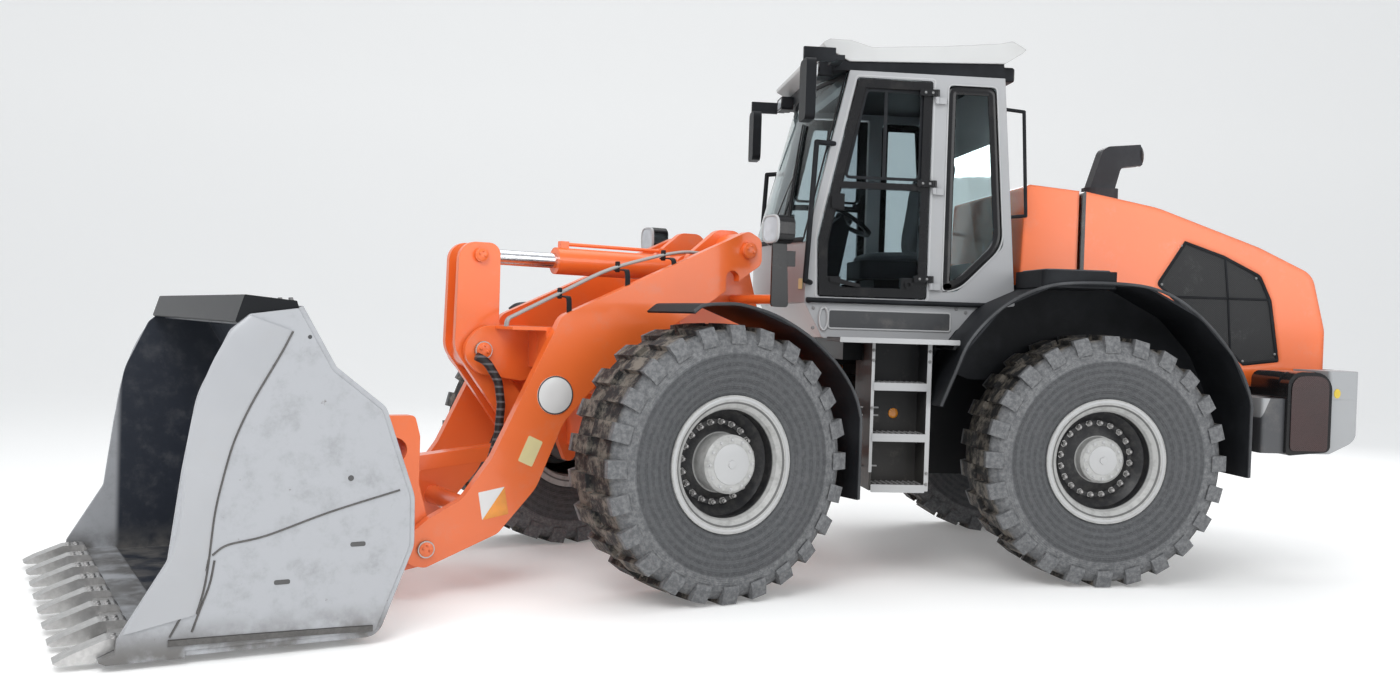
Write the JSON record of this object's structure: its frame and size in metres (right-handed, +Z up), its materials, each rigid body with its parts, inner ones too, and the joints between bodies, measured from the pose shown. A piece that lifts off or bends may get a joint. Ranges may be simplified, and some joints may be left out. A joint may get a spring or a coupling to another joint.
{
  "type": "wheel loader",
  "caption": "Articulated four-wheel loader with cab, hinged hood, boom with tilt linkage and a toothed bucket resting level on the ground.",
  "frame": {"origin": "middle of the bounding box in plan, on the ground under the wheels", "axes": "+X forwards along the rear half, +Y to the operator's left, +Z up; the front half is stored turned 24 degrees to the left"},
  "size_m": [7.9313, 4.237, 3.2681],
  "materials": {
    "orange_paint": "gloss paint",
    "grey_paint": "satin paint",
    "black_paint": "satin paint",
    "roof_white": "satin paint",
    "bucket_steel": "worn paint",
    "rod_chrome": "polished",
    "pin_steel": "brushed",
    "cast_grey": "cast",
    "tyre": "matt rubber",
    "black_plastic": "matt",
    "lamp_plastic": "clear lens",
    "hose_rubber": "wrapped hose",
    "glass": "tinted"
  },
  "bodies": {
    "rear": {"rear_frame": "black_paint", "rear_axle": "cast_grey", "engine_block": "cast_grey", "counterweight": "grey_paint", "tail_lamps": "black_plastic", "cab_frame": "grey_paint", "cab_roof": "roof_white", "cab_glass": "glass", "operator_station": "black_plastic", "rear_fenders": "black_plastic", "access_steps": "black_paint", "mid_cover": "orange_paint", "cab_fittings": "black_plastic", "roof_rail": "black_plastic"},
    "front": {"front_frame": "orange_paint", "front_axle": "cast_grey", "front_fenders": "black_plastic", "headlamps": "black_plastic", "headlamp_lenses": "lamp_plastic"},
    "boom": {"boom": "orange_paint", "boom_hoses": "hose_rubber"},
    "bellcrank_pin": {"bellcrank_pin": "pin_steel"},
    "bellcrank": {"bellcrank": "orange_paint"},
    "tilt_barrel": {"tilt_barrel": "orange_paint"},
    "tilt_rod": {"tilt_rod": "rod_chrome"},
    "lift_barrels": {"lift_barrels": "orange_paint"},
    "lift_rods": {"lift_rods": "rod_chrome"},
    "bucket_pins": {"bucket_pins": "pin_steel"},
    "bucket": {"coupler": "orange_paint", "bucket": "bucket_steel", "bucket_teeth": "bucket_steel", "spill_guard": "black_paint"},
    "link_pin": {"link_pin": "pin_steel"},
    "tilt_link": {"tilt_link": "orange_paint"},
    "door_left": {"door_left": "black_paint", "door_left_glass": "glass"},
    "door_right": {"door_right": "black_paint", "door_right_glass": "glass"},
    "hood": {"hood": "orange_paint", "hood_grilles": "black_plastic", "exhaust": "black_paint"},
    "steer_barrel_left": {"steer_barrel_left": "black_paint"},
    "steer_rod_left": {"steer_rod_left": "rod_chrome"},
    "steer_barrel_right": {"steer_barrel_right": "black_paint"},
    "steer_rod_right": {"steer_rod_right": "rod_chrome"},
    "wheel_front_left": {"tyre_front_left": "tyre", "rim_front_left": "grey_paint"},
    "wheel_front_right": {"tyre_front_right": "tyre", "rim_front_right": "grey_paint"},
    "wheel_rear_left": {"tyre_rear_left": "tyre", "rim_rear_left": "grey_paint"},
    "wheel_rear_right": {"tyre_rear_right": "tyre", "rim_rear_right": "grey_paint"}
  },
  "joints": [
    {"name": "steer", "type": "hinge", "parent": "rear", "child": "front", "pos_m": [-0.775, -0.868, 0.95], "axis": [0, 0, 1], "range_deg": [-64, 16]},
    {"name": "boom_lift", "type": "hinge", "parent": "front", "child": "boom", "pos_m": [0.0746, -0.48973, 1.93], "axis": [0.4067, -0.9135, 0], "range_deg": [-2, 85]},
    {"name": "bucket_level", "type": "hinge", "parent": "boom", "child": "bucket_pins", "pos_m": [1.85601, 0.3034, 0.265], "axis": [0.4067, -0.9135, 0], "range_deg": [-85.02, 2.02]},
    {"name": "bucket_tilt", "type": "hinge", "parent": "bucket_pins", "child": "bucket", "pos_m": [1.85601, 0.3034, 0.265], "axis": [0.4067, -0.9135, 0], "range_deg": [-45, 38]},
    {"name": "bellcrank_level", "type": "hinge", "parent": "boom", "child": "bellcrank_pin", "pos_m": [1.48146, 0.13664, 1.3], "axis": [0.4067, -0.9135, 0], "range_deg": [-0.77, 32.06]},
    {"name": "bellcrank_turn", "type": "hinge", "parent": "bellcrank_pin", "child": "bellcrank", "pos_m": [1.48146, 0.13664, 1.3], "axis": [0.4067, -0.9135, 0], "range_deg": [-12.6, 14.91]},
    {"name": "link_level", "type": "hinge", "parent": "bucket", "child": "link_pin", "pos_m": [1.89712, 0.32171, 0.65], "axis": [0.4067, -0.9135, 0], "range_deg": [-1.63, 68.61]},
    {"name": "link_turn", "type": "hinge", "parent": "link_pin", "child": "tilt_link", "pos_m": [1.89712, 0.32171, 0.65], "axis": [0.4067, -0.9135, 0], "range_deg": [-33.65, 39.84]},
    {"name": "tilt_swing", "type": "hinge", "parent": "front", "child": "tilt_barrel", "pos_m": [0.24817, -0.41246, 1.82], "axis": [0.4067, -0.9135, 0], "range_deg": [-2.08, 87.48]},
    {"name": "tilt_slide", "type": "slide", "parent": "tilt_barrel", "child": "tilt_rod", "axis": [0.9135, 0.4067, 0.0096], "range_m": [-0.1348, 0.11391]},
    {"name": "lift_swing", "type": "hinge", "parent": "front", "child": "lift_barrels", "pos_m": [-0.0807, -0.55888, 0.8], "axis": [0.4067, -0.9135, 0], "range_deg": [-1.16, 48.65]},
    {"name": "lift_slide", "type": "slide", "parent": "lift_barrels", "child": "lift_rods", "axis": [0.8763, 0.3902, 0.2826], "range_m": [-0.02544, 1.06063]},
    {"name": "steer_swing_left", "type": "hinge", "parent": "rear", "child": "steer_barrel_left", "pos_m": [-1.105, -0.618, 0.96], "axis": [0, 0, 1], "range_deg": [-43.49, 10.89]},
    {"name": "steer_slide_left", "type": "slide", "parent": "steer_barrel_left", "child": "steer_rod_left", "axis": [0.8912, 0.4536, 0], "range_m": [-0.08361, 0.33296]},
    {"name": "steer_swing_right", "type": "hinge", "parent": "rear", "child": "steer_barrel_right", "pos_m": [-1.105, -1.118, 0.96], "axis": [0, 0, 1], "range_deg": [-43.44, 10.88]},
    {"name": "steer_slide_right", "type": "slide", "parent": "steer_barrel_right", "child": "steer_rod_right", "axis": [0.9951, 0.0988, 0], "range_m": [-0.33305, 0.08364]},
    {"name": "wheel_front_left_spin", "type": "hinge", "parent": "front", "child": "wheel_front_left", "pos_m": [0.16524, 0.63431, 0.745], "axis": [-0.4067, 0.9135, 0], "continuous": true},
    {"name": "wheel_front_right_spin", "type": "hinge", "parent": "front", "child": "wheel_front_right", "pos_m": [0.97058, -1.17451, 0.745], "axis": [-0.4067, 0.9135, 0], "continuous": true},
    {"name": "wheel_rear_left_spin", "type": "hinge", "parent": "rear", "child": "wheel_rear_left", "pos_m": [-2.225, 0.122, 0.745], "axis": [0, 1, 0], "continuous": true},
    {"name": "wheel_rear_right_spin", "type": "hinge", "parent": "rear", "child": "wheel_rear_right", "pos_m": [-2.225, -1.858, 0.745], "axis": [0, 1, 0], "continuous": true},
    {"name": "door_left_hinge", "type": "hinge", "parent": "rear", "child": "door_left", "pos_m": [-1.245, -0.046, 2.3], "axis": [0, 0, 1], "range_deg": [0, 100]},
    {"name": "door_right_hinge", "type": "hinge", "parent": "rear", "child": "door_right", "pos_m": [-1.245, -1.69, 2.3], "axis": [0, 0, -1], "range_deg": [0, 100]},
    {"name": "hood_hinge", "type": "hinge", "parent": "rear", "child": "hood", "pos_m": [-3.92, -0.868, 1.345], "axis": [0, -1, 0], "range_deg": [0, 45]}
  ],
  "couplings": [
    {"joint": "bucket_level", "follows": "boom_lift", "ratio": -1},
    {"joint": "bellcrank_level", "follows": "boom_lift", "ratio": 0.377},
    {"joint": "bellcrank_turn", "follows": "bucket_tilt", "ratio": -0.331},
    {"joint": "link_level", "follows": "boom_lift", "ratio": 0.807},
    {"joint": "link_turn", "follows": "bucket_tilt", "ratio": -0.885},
    {"joint": "tilt_swing", "follows": "boom_lift", "ratio": 1.029},
    {"joint": "tilt_slide", "follows": "bucket_tilt", "m_per_rad": 0.171},
    {"joint": "lift_swing", "follows": "boom_lift", "ratio": 0.5721},
    {"joint": "lift_slide", "follows": "boom_lift", "m_per_rad": 0.7146},
    {"joint": "steer_swing_left", "follows": "steer", "ratio": 0.6792},
    {"joint": "steer_slide_left", "follows": "steer", "m_per_rad": -0.29763},
    {"joint": "steer_swing_right", "follows": "steer", "ratio": 0.6785},
    {"joint": "steer_slide_right", "follows": "steer", "m_per_rad": 0.29771}
  ]
}
